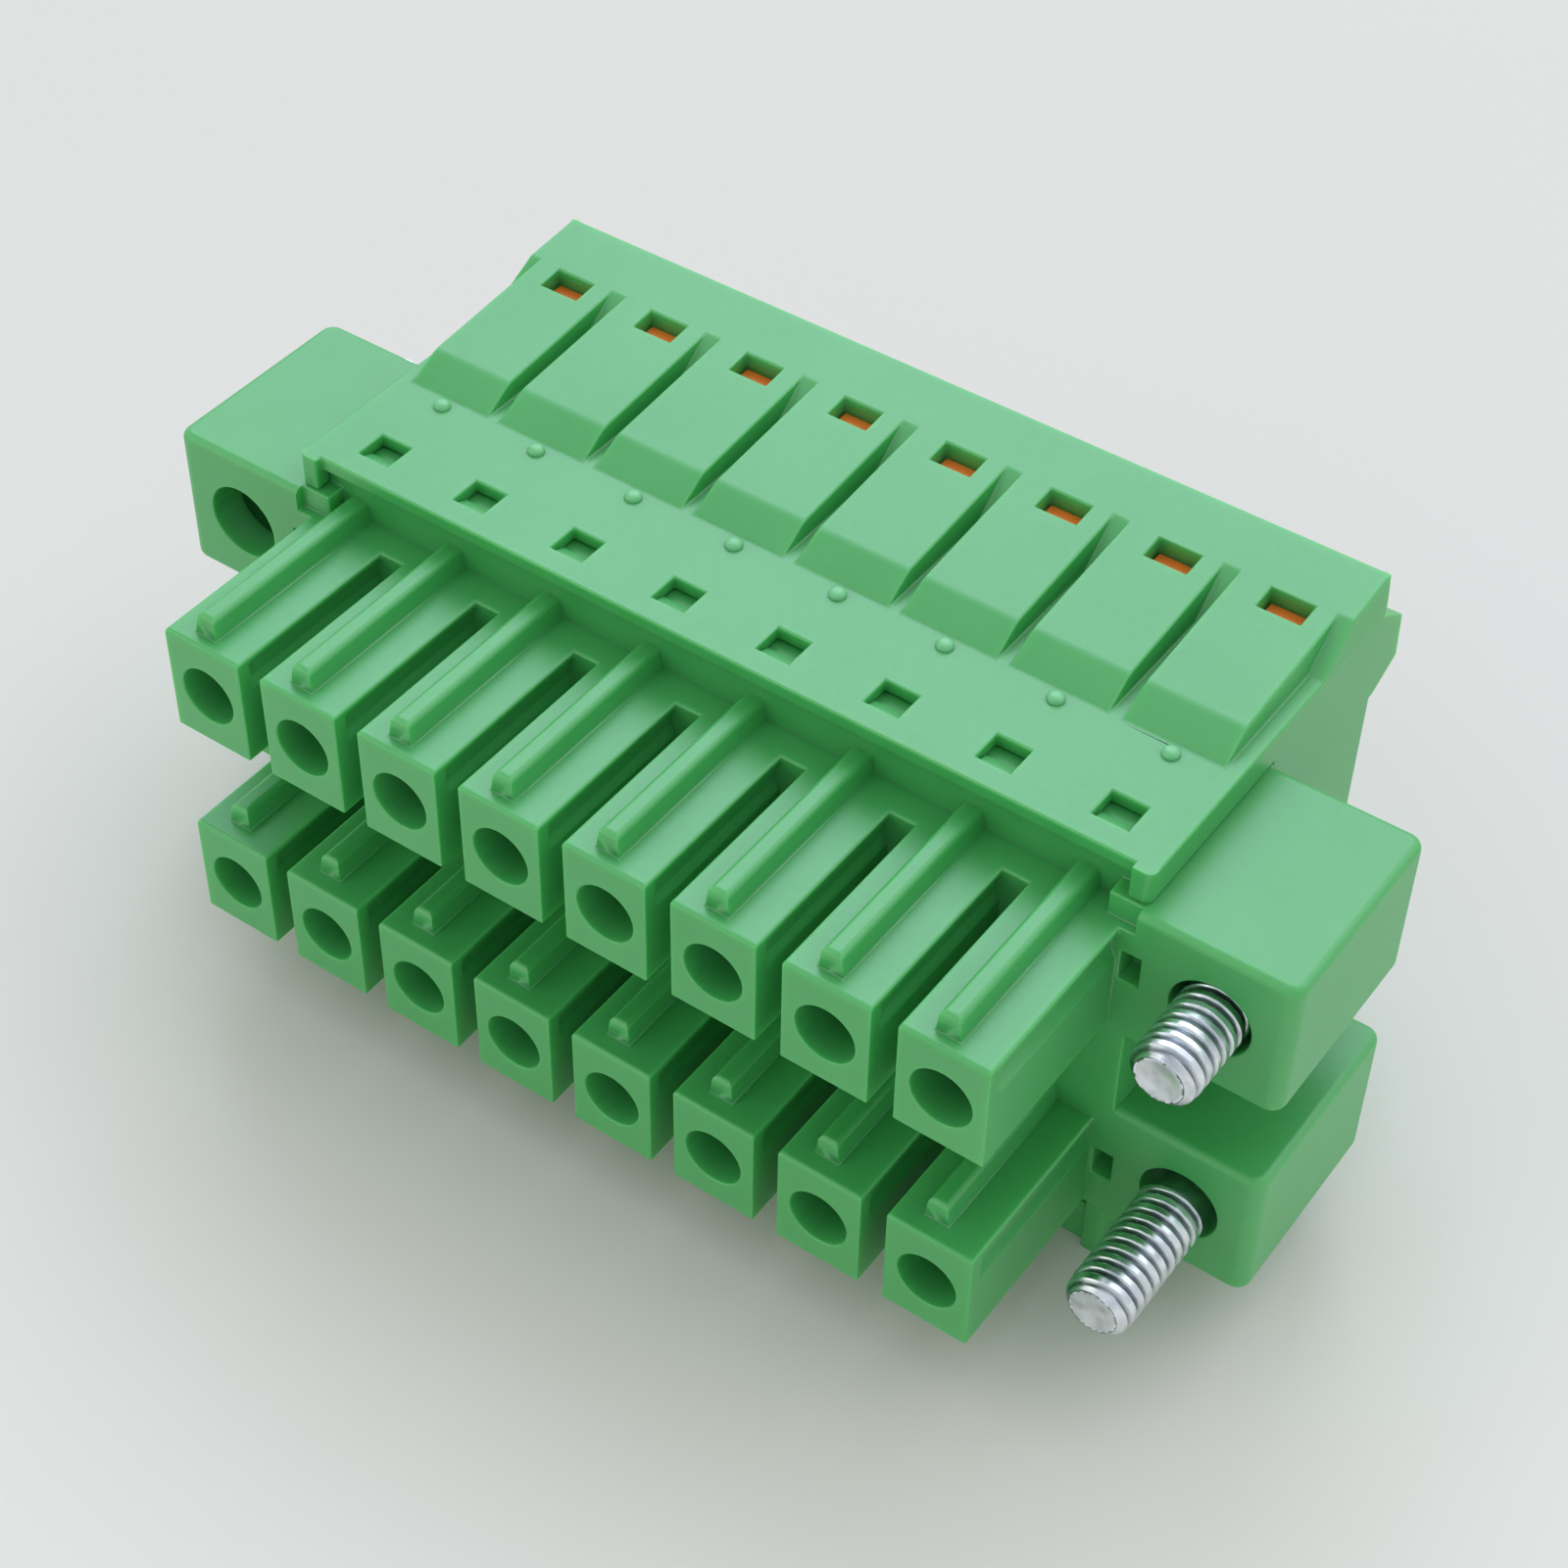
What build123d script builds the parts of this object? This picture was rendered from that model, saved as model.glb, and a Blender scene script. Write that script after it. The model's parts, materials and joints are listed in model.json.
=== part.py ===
from build123d import *
import os

# Double row plug for printed circuit boards, with push-in springs and screw flanges.
# Millimetres. X runs along the poles, Y from the mating face to the wire side, Z up.
# Everything is drawn from the mating face, Y = 0, and moved at the end so that the origin
# is the middle of the footprint, on the surface the plug lies on.

# Row of poles
poles = 8
pitch = 3.5
row_step = 7.55
height = 16.7
contact_depth = 4.82
upper_contact_z = height - contact_depth
lower_contact_z = upper_contact_z - row_step
row_half = poles * pitch / 2
pole_x = [(i + 0.5) * pitch - row_half for i in range(poles)]

# Clearances
skin_fit = 0.05
button_fit = 0.07
lug_fit = 0.06
lug_gap = 0.03
nose_gap = 0.1
socket_fit = 0.08
bar_gap = 0.02
head_fit = 0.08
thread_fit = 0.2

# Socket fingers
finger_length = 6.0
finger_width = 2.7
finger_over_axis = 1.84
finger_under_axis = 1.74
socket_hole = 1.86
socket_hole_depth = 1.3
groove_depth = 0.16
groove_top = 0.22
groove_bottom = 0.86
groove_ramp = 0.3
groove_front = 0.5
ridge_width = 0.78
ridge_height = 0.66
ridge_offset = -0.16
ridge_left_lean = 0.05
ridge_right_lean = 0.14
ridge_front_lean = 0.1
ridge_round = 0.2
upper_ridge_front = 0.42
lower_ridge_front = 0.6

# Carrier body and core
end_wall = 0.15
body_half = row_half + end_wall
body_front = finger_length
body_depth = 6.8
body_back = body_front + body_depth
core_inset = 0.3
core_half = row_half - core_inset
shoulder_inset = 1.1
shoulder_half = body_half - shoulder_inset
shoulder_setback = 0.3
lip_overhang = 0.95
core_front = body_front + lip_overhang
core_length = 7.65
core_back = core_front + core_length
core_skin = 1.65
divider = 1.0
chamber_width = pitch - divider
front_wall = 1.25
chamber_front = core_front + front_wall
chamber_outer = 1.95
chamber_top = height - chamber_outer
chamber_height = 5.15
chamber_floor = chamber_top - chamber_height
finger_bore_height = 2.24
finger_bore_width = socket_hole

# Flanges
flange_length = 4.55
flange_outer = body_half + flange_length
flange_half_height = 2.35
flange_rise = 0.24
upper_flange_z = upper_contact_z + flange_rise
lower_flange_z = upper_flange_z - row_step
flange_round = 0.45
flange_edge_round = 0.25
notch_inset = 0.43
notch_x = body_half - notch_inset
notch_width = 0.6
notch_height = 1.05
upper_notch_rise = 0.3
lower_notch_rise = -0.1
notch_depth = 0.8

# Flange screws
screw_reach = 2.25
screw_x = body_half + screw_reach
thread_dia = 2.0
thread_length = 4.2
neck_dia = 1.6
screw_hole = thread_dia + 2 * thread_fit
head_dia = 2.8
head_thick = 1.2
head_chamfer = 0.12
screw_length = 5.6
seat_wall = 1.2
seat_y = body_front + seat_wall
tip_chamfer = 0.22
drive_slot_width = 0.5
drive_slot_depth = 0.55
seated_tip = seat_y - screw_length
partly_drawn = 1.9
fully_drawn = 5.6

# Rear housing
deck_drop = 1.15
deck_z = height - deck_drop
deck_setback = 0.62
deck_front = body_front + deck_setback
corner_setback = 0.4
corner_front = body_front + corner_setback
corner_width = 0.65
back_wall = 4.4
housing_back = core_back + back_wall
strip_length = 2.1
ramp_top = housing_back - strip_length
ramp_length = 1.65
ramp_foot = ramp_top - ramp_length
end_lean = 0.12
housing_corner_round = 0.25
latch_inset = 0.5
latch_front = core_front + latch_inset
latch_length = 1.03
latch_back = latch_front + latch_length
latch_width = 1.08
catch_length = 0.42
block_drop = 0.57
block_z = height - block_drop
block_run = 2.37
block_foot = latch_back + block_run
block_ramp = 1.25
block_crest = block_foot + block_ramp
block_margin = 0.45
top_slope = block_drop / (housing_back - block_crest)
ramp_top_z = height - top_slope * strip_length
slot_offset = 0.06
slot_right = pitch / 2 + slot_offset
slot_floor = 0.39
slot_left = slot_right - slot_floor
slot_lean = 0.13
block_left = slot_right - pitch
block_right = slot_left - slot_lean
floor_slot_depth = 0.5
bump_dia = 0.5
bump_sides = 12
bump_lean = 30
bump_height = 0.16
bump_root = 0.05
bump_inset = 0.35
bump_y = block_foot - bump_inset
view_width = 1.33
view_inset = 0.07
view_back = ramp_top - view_inset
view_length = 0.85
view_front = view_back - view_length

# Push buttons
button_travel = 1.3
button_drop = 1.07
button_high = height - button_drop
button_height = 1.76
button_low = button_high - button_height
button_step = 0.37
button_step_y = view_back + button_step
button_proud = 0.6
button_back = housing_back + button_proud
button_chamfer = 0.15
lug_width = chamber_width - 2 * lug_fit
lug_step = 0.19
button_width = lug_width - 2 * lug_step
lug_back = core_back + skin_fit - lug_gap
lug_length = 1.02
nose_length = 1.32
nose_front = lug_back - nose_length
nose_high = chamber_top - nose_gap
nose_depth = 1.52
nose_low = button_low - nose_depth
nose_lead = 0.35
hook_length = 0.8
stop_y = button_step_y - button_travel - skin_fit

# Rear rib around the buttons
rib_depth = 1.25
rib_back = housing_back + rib_depth
rib_top_inset = 0.15
rib_top_back = rib_back - rib_top_inset
rib_under = 0.92
rib_flat_low = button_low - rib_under
rib_low_ramp = 0.6
rib_low = rib_flat_low - rib_low_ramp
rib_over = 1.08
rib_flat_high = button_high - rib_over
rib_high_ramp = 0.75
rib_high = rib_flat_high + rib_high_ramp

# Contacts and springs
sheet = 0.28
socket_box = finger_bore_width - 2 * socket_fit
socket_inset = 0.45
socket_front = socket_hole_depth + socket_inset
socket_tail = 0.3
socket_back = body_front + socket_tail
arm_width = 0.7
arm_bend = 0.3
bar_width = socket_box
bar_z = chamber_floor + bar_gap + sheet / 2
bar_inset = 0.4
bar_back = core_back - bar_inset
spring_sheet = 0.22
spring_side = 0.05
spring_width = bar_width - 2 * spring_side
spring_inset = 1.0
spring_y = chamber_front + spring_inset
spring_drop = 1.0
spring_top = chamber_top - spring_drop

# Wire entries
wire_bore = 2.2
wire_rise = 0.1
wire_z = bar_z + sheet / 2 + wire_rise + wire_bore / 2
funnel_wall = 0.5
funnel_dia = pitch - funnel_wall
funnel_depth = 0.7


def box(x0, x1, y0, y1, z0, z1):
    middle = ((x0 + x1) / 2, (y0 + y1) / 2, (z0 + z1) / 2)
    return Pos(*middle) * Box(x1 - x0, y1 - y0, z1 - z0)


def prism_y(points, y0, y1):
    # A closed outline of (x, z) points, drawn out from y0 to y1
    face = make_face(Polyline(*[(x, y0, z) for x, z in points], close=True))
    return extrude(face, amount=y1 - y0, dir=(0, 1, 0))


def prism_x(points, x0, x1):
    # A closed outline of (y, z) points, drawn out from x0 to x1
    face = make_face(Polyline(*[(x0, y, z) for y, z in points], close=True))
    return extrude(face, amount=x1 - x0, dir=(1, 0, 0))


def rod_y(x, z, dia, y0, y1):
    return Pos(x, (y0 + y1) / 2, z) * Rot(90, 0, 0) * Cylinder(dia / 2, y1 - y0)


def cone_y(x, z, dia0, dia1, y0, y1):
    # Diameter dia0 at y0 and dia1 at y1
    cone = Cone(dia0 / 2, dia1 / 2, y1 - y0)
    return Pos(x, (y0 + y1) / 2, z) * Rot(-90, 0, 0) * cone


def flip(shape):
    # The lower half is the upper one turned over about the middle plane
    return mirror(shape, about=Plane.XY.offset(height / 2))


def strip_x(path, thick, width, x):
    # A bent sheet of this width: half the thickness on each side of a path in Y and Z
    runs = [Vector(*b) - Vector(*a) for a, b in zip(path, path[1:])]
    normals = [Vector(-run.Y, run.X).normalized() for run in runs]
    left = []
    right = []
    for (y, z), before, after in zip(path, normals[:1] + normals, normals + normals[-1:]):
        # Mitre: along the mean normal, longer where the bend is sharper
        side = (before + after) * (thick / 2 / (1 + before.dot(after)))
        left.append((y + side.X, z + side.Y))
        right.append((y - side.X, z - side.Y))
    return prism_x(left + right[::-1], x - width / 2, x + width / 2)


# Contact carrier


def side_groove(side):
    w = finger_width / 2
    g = w - groove_depth
    top = finger_over_axis
    points = [
        (w + 0.1, top - groove_top),
        (g, top - groove_top),
        (g, top - groove_bottom),
        (w, top - groove_bottom - groove_ramp),
        (w + 0.1, top - groove_bottom - groove_ramp),
    ]
    return prism_y([(side * x, z) for x, z in points], groove_front, core_front + 0.6)


def ridge(front):
    # Stands on a finger's top: what its outlines from the front and from the side share
    back = core_front + 0.5
    left = ridge_offset - ridge_width / 2
    right = ridge_offset + ridge_width / 2
    foot = finger_over_axis - 0.1
    top = finger_over_axis + ridge_height
    across = prism_y(
        [
            (left, foot),
            (left + ridge_left_lean, top),
            (right - ridge_right_lean, top),
            (right, foot),
        ],
        front - 0.1,
        back,
    )
    crests = across.edges().filter_by(Axis.Y).sort_by(Axis.Z)[-2:]
    across = fillet(crests, ridge_round)
    along = prism_x(
        [(front, foot), (front + ridge_front_lean, top), (back + 0.1, top), (back + 0.1, foot)],
        left - 0.1,
        right + 0.1,
    )
    brow = along.edges().filter_by(Axis.X).sort_by(Axis.Z)[-2:].sort_by(Axis.Y)[0]
    return across & fillet(brow, ridge_round)


def finger(z_axis, ridge_front):
    w = finger_width / 2
    body = box(-w, w, 0, core_front + 0.5, -finger_under_axis, finger_over_axis)
    for side in (-1, 1):
        body -= side_groove(side)
    hole = rod_y(0, 0, socket_hole, -0.1, socket_hole_depth + 0.1)
    bore_h = finger_bore_height / 2
    bore_w = finger_bore_width / 2
    bore = box(-bore_w, bore_w, socket_hole_depth, core_front + 0.6, -bore_h, bore_h)
    return Pos(0, 0, z_axis) * (body + ridge(ridge_front) - hole - bore)


def flange(side, z_axis):
    block = box(body_half - 0.1, flange_outer, body_front, body_back, z_axis - flange_half_height,
                z_axis + flange_half_height)
    corners = [e for e in block.edges().filter_by(Axis.Z) if e.center().X > body_half]
    block = fillet(corners, flange_round)
    # One unbroken edge runs round the front, the outer end and the back of each level face
    rim = [
        e
        for e in block.edges()
        if abs(e.center().Z - z_axis) > flange_half_height - 0.01 and e.center().X > body_half
    ]
    block = fillet(rim, flange_edge_round)
    block -= rod_y(screw_x, z_axis, screw_hole, body_front - 0.1, seat_y + 0.1)
    counterbore = head_dia + 2 * head_fit
    block -= rod_y(screw_x, z_axis, counterbore, seat_y, body_back + 0.1)
    if side < 0:
        block = mirror(block, about=Plane.YZ)
    return block


def notch(side, z):
    # Small pocket where a flange meets the body
    x0 = side * notch_x
    x1 = side * (notch_x + notch_width)
    half = notch_height / 2
    return box(min(x0, x1), max(x0, x1), body_front - 0.1, body_front + notch_depth,
               z - half, z + half)


def chamber(x, upper):
    w = chamber_width / 2
    shape = box(x - w, x + w, chamber_front, core_back + 0.1, chamber_floor, chamber_top)
    return shape if upper else flip(shape)


def passage(x, upper):
    # The way from the finger's bore to the chamber, for the jog in the contact
    w = finger_bore_width / 2
    if upper:
        z0 = chamber_floor
        z1 = upper_contact_z + finger_bore_height / 2
    else:
        z0 = lower_contact_z - finger_bore_height / 2
        z1 = height - chamber_floor
    return box(x - w, x + w, core_front + 0.05, chamber_front + 0.1, z0, z1)


def catch(x, upper):
    # Wedge that snaps into a latch window: level in front, steep behind
    z0 = height - core_skin
    y0 = latch_front + skin_fit
    points = [
        (y0, z0 - 0.2),
        (y0, z0 + 0.36),
        (y0 + catch_length, z0 + 0.2),
        (y0 + catch_length, z0 - 0.2),
    ]
    w = latch_width / 2 - skin_fit
    shape = prism_x(points, x - w, x + w)
    return shape if upper else flip(shape)


def contact_carrier():
    low = lower_flange_z - flange_half_height
    high = upper_flange_z + flange_half_height
    body = box(-body_half, body_half, body_front, body_back, low, high)
    body += box(-core_half, core_half, core_front, core_back, core_skin, height - core_skin)
    # Under the deck lip the front wall stands back from the fingers' level
    finger_top = upper_contact_z + finger_over_axis
    finger_foot = lower_contact_z - finger_under_axis
    for z0, z1 in ((finger_top, height), (0, finger_foot)):
        body -= box(-shoulder_half, shoulder_half, body_front - 0.1, core_front, z0, z1)
        body -= box(-body_half - 0.1, body_half + 0.1, body_front - 0.1,
                    body_front + shoulder_setback, z0, z1)
    for side in (-1, 1):
        body += flange(side, upper_flange_z)
        body += flange(side, lower_flange_z)
        body -= notch(side, upper_flange_z + upper_notch_rise)
        body -= notch(side, lower_flange_z + lower_notch_rise)
    upper = finger(upper_contact_z, upper_ridge_front)
    lower = finger(lower_contact_z, lower_ridge_front)
    adds = []
    cuts = []
    for x in pole_x:
        adds += [Pos(x, 0, 0) * upper, Pos(x, 0, 0) * lower]
        adds += [catch(x, True), catch(x, False)]
        cuts += [chamber(x, True), chamber(x, False), passage(x, True), passage(x, False)]
        for z in (upper_contact_z, lower_contact_z):
            w = finger_bore_width / 2
            h = finger_bore_height / 2
            cuts.append(box(x - w, x + w, body_front - 0.2, core_front + 0.2, z - h, z + h))
    body = body.fuse(*adds)
    return body.cut(*cuts)


# Rear housing


def raised_block(x, first):
    # Steep front and a top that rises to the rear strip, wider at the foot on the right
    left = block_margin - body_half - x if first else block_left
    points = [
        (left, deck_z - 0.3),
        (left, height + 0.3),
        (block_right, height + 0.3),
        (slot_left, deck_z - 0.3),
    ]
    across = prism_y([(x + px, pz) for px, pz in points], block_foot - 0.3, ramp_top + 0.2)
    along = [
        (block_foot, deck_z - 0.3),
        (block_foot, deck_z),
        (block_crest - 0.25, block_z - 0.06),
        (block_crest, block_z),
        (ramp_top, ramp_top_z),
        (ramp_top, deck_z - 0.3),
    ]
    return across & prism_x(along, x - pitch, x + pitch)


def rear_rib():
    points = [
        (housing_back - 0.3, rib_low),
        (housing_back, rib_low),
        (rib_back, rib_flat_low),
        (rib_top_back, rib_flat_high),
        (housing_back, rib_high),
        (housing_back - 0.3, rib_high),
    ]
    return prism_x(points, -body_half, body_half)


def button_channel(x, upper):
    # Low as far as the stop, and high behind it for the button's head
    w = button_width / 2 + button_fit
    low = button_low - button_fit
    shape = box(x - w, x + w, core_back, stop_y + 0.1, low, nose_high + button_fit)
    shape += box(x - w, x + w, stop_y, rib_back + 0.2, low, button_high + button_fit)
    return shape if upper else flip(shape)


def view_window(x, upper):
    w = view_width / 2
    shape = box(x - w, x + w, view_front, view_back, nose_high, height + 0.3)
    return shape if upper else flip(shape)


def latch_window(x, upper):
    w = latch_width / 2
    shape = box(x - w, x + w, latch_front, latch_back, height - core_skin - 0.3, height + 0.3)
    return shape if upper else flip(shape)


def wire_entry(x, upper):
    bore = rod_y(x, wire_z, wire_bore, core_back, housing_back)
    mouth = cone_y(x, wire_z, wire_bore, funnel_dia, housing_back - funnel_depth, housing_back)
    relief = rod_y(x, wire_z, funnel_dia, housing_back, rib_back + 0.2)
    shape = bore + mouth + relief
    return shape if upper else flip(shape)


def floor_slot(x):
    return box(x + slot_left, x + pitch + block_left, block_foot, ramp_foot, -0.1,
               floor_slot_depth)


def bump(x):
    # Small stud on the deck before each raised block, narrower at its top
    foot = Pos(x, bump_y, deck_z - bump_root) * RegularPolygon(bump_dia / 2, bump_sides)
    return extrude(foot, amount=bump_height + bump_root, taper=bump_lean)


def strip_end(side):
    # What the lean of the strip's end face leaves off above the deck
    points = [
        (side * body_half, deck_z),
        (side * (body_half - end_lean), height + 0.01),
        (side * (body_half + 0.2), height + 0.01),
        (side * (body_half + 0.2), deck_z),
    ]
    return prism_y(points, ramp_foot - 0.1, housing_back + 0.1)


def rounded_plan():
    # The housing seen from above: its four upright corners are rounded
    length = housing_back - corner_front
    outline = RectangleRounded(2 * body_half, length, housing_corner_round)
    return extrude(Pos(0, corner_front + length / 2, 0) * outline, amount=height + 1)


def rear_housing():
    body = prism_x(
        [
            (corner_front, 0),
            (corner_front, deck_z),
            (ramp_foot, deck_z),
            (ramp_top, ramp_top_z),
            (housing_back, height),
            (housing_back, 0),
        ],
        -body_half,
        body_half,
    )
    for side in (-1, 1):
        body -= strip_end(side)
    body &= rounded_plan()
    body += rear_rib()
    body += flip(rear_rib())
    adds = []
    cuts = []
    for i, x in enumerate(pole_x):
        adds.append(raised_block(x, i == 0))
        adds.append(bump(x))
        for upper in (True, False):
            cuts += [button_channel(x, upper), view_window(x, upper), latch_window(x, upper)]
            cuts.append(wire_entry(x, upper))
        if i < poles - 1:
            cuts.append(floor_slot(x))
    body = body.fuse(*adds)
    fit = skin_fit
    # Deck front edge stands back between the two corner blocks
    inner = body_half - corner_width
    body -= box(-inner, inner, corner_front - 0.1, deck_front, -0.1, height)
    half = core_half + fit
    low = core_skin - fit
    high = height - core_skin + fit
    body -= box(-half, half, core_front - fit, core_back + fit, low, high)
    body -= box(-inner, inner, corner_front - 0.1, core_front, low, high)
    low = lower_flange_z - flange_half_height - fit
    high = upper_flange_z + flange_half_height + fit
    body -= box(-body_half - 1, body_half + 1, corner_front - 0.1, body_back + fit, low, high)
    return body.cut(*cuts)


# Small pieces


def push_button(x, upper):
    w = button_width / 2
    bar = box(x - w, x + w, lug_back - 0.3, button_back, button_low, nose_high)
    head = box(x - w, x + w, button_step_y, button_back, button_low, button_high)
    nose = prism_x(
        [
            (nose_front, nose_high),
            (nose_front, nose_low + nose_lead),
            (nose_front + 0.25, nose_low),
            (nose_front + hook_length, nose_low),
            (nose_front + hook_length, button_low),
            (lug_back, button_low),
            (lug_back, nose_high),
        ],
        x - w,
        x + w,
    )
    lug = box(x - lug_width / 2, x + lug_width / 2, lug_back - lug_length, lug_back,
              button_low, nose_high)
    body = bar + head + nose + lug
    edges = [e for e in body.edges() if e.center().Y > button_back - 0.01]
    body = chamfer(edges, button_chamfer)
    return body if upper else flip(body)


def contact(x, upper):
    z = upper_contact_z if upper else lower_contact_z
    h = socket_box / 2
    shell = box(x - h, x + h, socket_front, socket_back, z - h, z + h)
    inner = h - sheet
    shell -= box(x - inner, x + inner, socket_front - 0.1, socket_back + 0.1, z - inner, z + inner)
    # Two arms press on the header's pin from above and below
    for s in (-1, 1):
        arm = prism_x(
            [
                (socket_front + 0.3, z + s * (inner + 0.05)),
                (socket_front + 1.2, z + s * (inner - arm_bend)),
                (socket_front + 1.5, z + s * (inner - arm_bend)),
                (socket_back - 0.6, z + s * (inner + 0.05)),
            ],
            x - arm_width / 2,
            x + arm_width / 2,
        )
        shell += arm
    wall = z - h + sheet / 2 if upper else z + h - sheet / 2
    bar = bar_z if upper else height - bar_z
    path = [
        (socket_back - 0.5, wall),
        (chamber_front - 0.9, wall),
        (chamber_front - 0.05, bar),
        (bar_back, bar),
    ]
    return shell + strip_x(path, sheet, bar_width, x)


def leg_spring(x, upper):
    bottom = bar_z + sheet / 2 + bar_gap + spring_sheet / 2
    path = [
        (spring_y + 1.3, bottom),
        (spring_y, bottom),
        (spring_y, spring_top - 0.65),
        (spring_y + 0.3, spring_top - 0.05),
        (spring_y + 0.9, spring_top),
        (nose_front + 0.2, wire_z - wire_bore / 4),
    ]
    body = strip_x(path, spring_sheet, spring_width, x)
    return body if upper else flip(body)


def flange_screw(side, z, drawn):
    # Drawn back from its seat by this much
    x = side * screw_x
    tip = seated_tip + drawn
    neck = tip + screw_length
    relief = tip + thread_length
    shank = rod_y(x, z, thread_dia, tip + tip_chamfer, relief)
    shank += rod_y(x, z, neck_dia, relief, neck + 0.1)
    point = cone_y(x, z, thread_dia - 2 * tip_chamfer, thread_dia, tip, tip + tip_chamfer)
    head = rod_y(x, z, head_dia, neck, neck + head_thick)
    head = chamfer(head.edges().sort_by(Axis.Y)[-1], head_chamfer)
    end = neck + head_thick
    half = drive_slot_width / 2
    slot = box(x - head_dia, x + head_dia, end - drive_slot_depth, end + 0.1, z - half, z + half)
    return shank + point + head - slot


def save(shape, name):
    shape = Pos(0, -rib_back / 2, 0) * shape
    shape.label = name
    export_step(shape, os.path.join("parts", name + ".step"))


os.makedirs("parts", exist_ok=True)
save(contact_carrier(), "contact_carrier")
save(rear_housing(), "rear_housing")
for number, x in enumerate(pole_x, 1):
    for row in ("upper", "lower"):
        is_upper = row == "upper"
        save(contact(x, is_upper), f"contact_{row}_{number}")
        save(leg_spring(x, is_upper), f"leg_spring_{row}_{number}")
        save(push_button(x, is_upper), f"push_button_{row}_{number}")
save(flange_screw(1, upper_flange_z, partly_drawn), "flange_screw_upper_right")
save(flange_screw(1, lower_flange_z, 0), "flange_screw_lower_right")
save(flange_screw(-1, upper_flange_z, fully_drawn), "flange_screw_upper_left")
save(flange_screw(-1, lower_flange_z, fully_drawn), "flange_screw_lower_left")
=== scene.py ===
import json
import math

import bmesh
import bpy
import numpy as np
from mathutils import Matrix, Vector

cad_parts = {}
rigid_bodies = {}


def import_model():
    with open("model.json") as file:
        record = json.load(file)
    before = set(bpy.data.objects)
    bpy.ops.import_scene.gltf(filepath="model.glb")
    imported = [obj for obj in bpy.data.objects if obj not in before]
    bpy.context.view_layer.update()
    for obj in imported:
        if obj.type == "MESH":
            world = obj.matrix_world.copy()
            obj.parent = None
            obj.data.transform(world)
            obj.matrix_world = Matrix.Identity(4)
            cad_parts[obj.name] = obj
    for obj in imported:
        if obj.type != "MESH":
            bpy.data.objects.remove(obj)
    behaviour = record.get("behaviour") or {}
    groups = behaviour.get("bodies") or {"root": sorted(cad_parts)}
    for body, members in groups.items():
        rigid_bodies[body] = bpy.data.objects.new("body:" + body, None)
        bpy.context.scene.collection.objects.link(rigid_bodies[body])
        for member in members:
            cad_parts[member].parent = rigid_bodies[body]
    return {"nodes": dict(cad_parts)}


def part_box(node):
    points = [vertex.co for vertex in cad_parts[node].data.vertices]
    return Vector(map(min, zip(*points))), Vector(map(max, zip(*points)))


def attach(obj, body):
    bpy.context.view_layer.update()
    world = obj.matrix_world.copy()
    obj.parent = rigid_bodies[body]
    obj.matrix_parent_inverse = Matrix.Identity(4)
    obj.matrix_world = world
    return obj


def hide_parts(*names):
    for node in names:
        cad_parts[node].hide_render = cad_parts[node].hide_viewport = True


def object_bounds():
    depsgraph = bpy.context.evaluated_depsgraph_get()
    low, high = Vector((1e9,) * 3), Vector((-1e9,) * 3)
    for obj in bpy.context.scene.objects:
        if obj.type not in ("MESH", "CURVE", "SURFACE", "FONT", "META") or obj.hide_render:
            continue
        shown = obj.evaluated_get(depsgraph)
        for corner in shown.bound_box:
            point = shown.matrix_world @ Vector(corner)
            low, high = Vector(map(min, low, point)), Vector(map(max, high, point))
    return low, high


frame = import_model()
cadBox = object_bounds()
nodes = frame["nodes"]
plugBody = "plug_body"
rows = ("upper", "lower")
poles = range(1, 9)
mm = 0.001
print("frame loaded,", len(nodes), "CAD nodes")


# Camera: where it stood for the photo. Metres and degrees, lens and sensor in millimetres.
camera = {"place": (0.03658, -0.05243, 0.07070), "azimuth": 34.63, "elevation": 44.63,
          "roll": 1.21, "lens": 70.59, "sensor": 36.0, "sees": (0.005, 10)}


def placeCamera():
    # The view axis comes from azimuth and elevation, and the roll turns the frame about it
    a, e, r = (math.radians(camera[k]) for k in ("azimuth", "elevation", "roll"))
    back = Vector((math.sin(a) * math.cos(e), -math.cos(a) * math.cos(e), math.sin(e)))
    level = Vector((math.cos(a), math.sin(a), 0))
    up = back.cross(level)
    right = math.cos(r) * level + math.sin(r) * up
    top = math.cos(r) * up - math.sin(r) * level
    lens = bpy.data.cameras.new("photoCamera")
    lens.lens = camera["lens"]
    lens.sensor_width = camera["sensor"]
    lens.clip_start, lens.clip_end = camera["sees"]
    eye = bpy.data.objects.new("photoCamera", lens)
    turn = Matrix((right, top, back)).transposed().to_4x4()
    eye.matrix_world = Matrix.Translation(camera["place"]) @ turn
    bpy.context.scene.collection.objects.link(eye)
    bpy.context.scene.camera = eye


placeCamera()

# Studio: an even sky, a soft lamp behind on the right, a wide panel behind on the left, whose
# sheen lies on everything that faces up, and a faint fill in front on the left. Metres.
studio = {"floorHalf": 3.0, "floorNearPaintedLight": (0.80, 0.77, 0.71), "floorFar": (0.71, 0.68, 0.62),
          "nearUpTo": -0.045, "farFrom": 0.06, "floorRoughness": 0.85, "floorGloss": 0.2,
          "sky": (0.90, 0.95, 1.00), "skyStrength": 0.78}
lamps = {
    "mainLamp": {"place": (0.16, 0.26, 0.42), "size": 0.60, "power": 0.68,
                 "colour": (0.94, 0.98, 1.10)},
    "backPanel": {"place": (-0.30, 0.44, 0.53), "size": 0.50, "power": 1.46,
                  "colour": (0.82, 0.92, 1.22)},
    "frontFill": {"place": (-0.30, -0.34, 0.22), "size": 0.40, "power": 0.30,
                  "colour": (1.0, 0.98, 0.86)}}


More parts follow.
